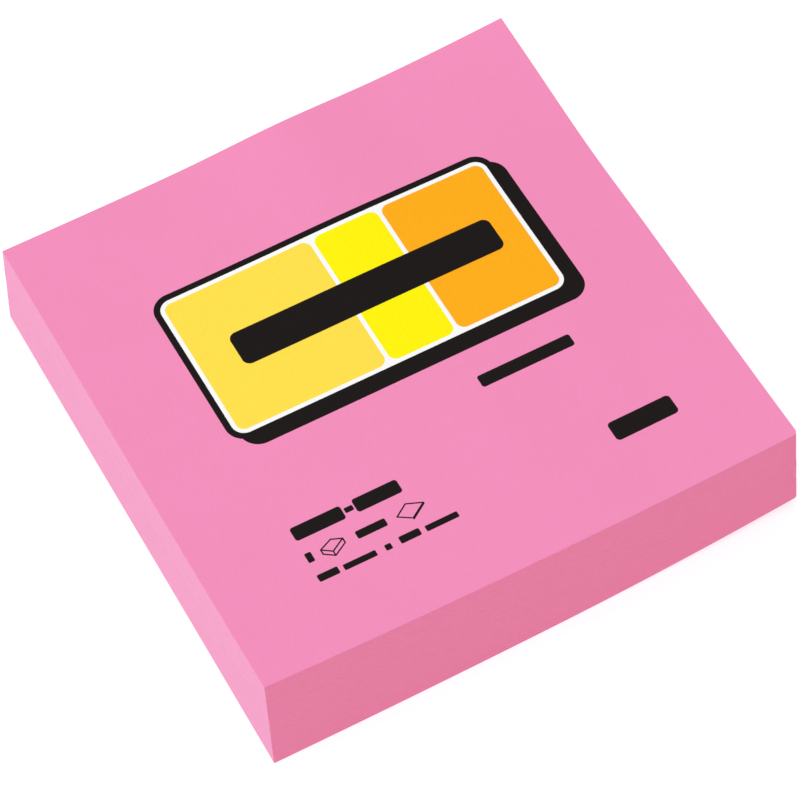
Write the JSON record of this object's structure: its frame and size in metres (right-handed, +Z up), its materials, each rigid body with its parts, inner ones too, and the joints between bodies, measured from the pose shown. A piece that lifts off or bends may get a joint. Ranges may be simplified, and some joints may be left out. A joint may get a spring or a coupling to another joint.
{
  "type": "sticky note pad",
  "caption": "Square pad of removable adhesive notes with a printed cover sheet, a backing sheet and gently curled corners, lying flat.",
  "frame": {"origin": "centre of the pad's outline, at the face that it rests on", "axes": "+X along the reading direction of the cover's print, +Y towards the glued back edge, +Z up through the stack"},
  "size_m": [0.076, 0.0769, 0.0176],
  "materials": {
    "cover_paper": "uncoated bright pink paper with printed fields of colour",
    "note_paper": "uncoated bright pink paper, guillotined edges",
    "backing_paper": "smooth coated bright pink release paper"
  },
  "bodies": {
    "root": {"cover_sheet": "cover_paper", "note_block": "note_paper", "backing_sheet": "backing_paper"}
  },
  "joints": []
}
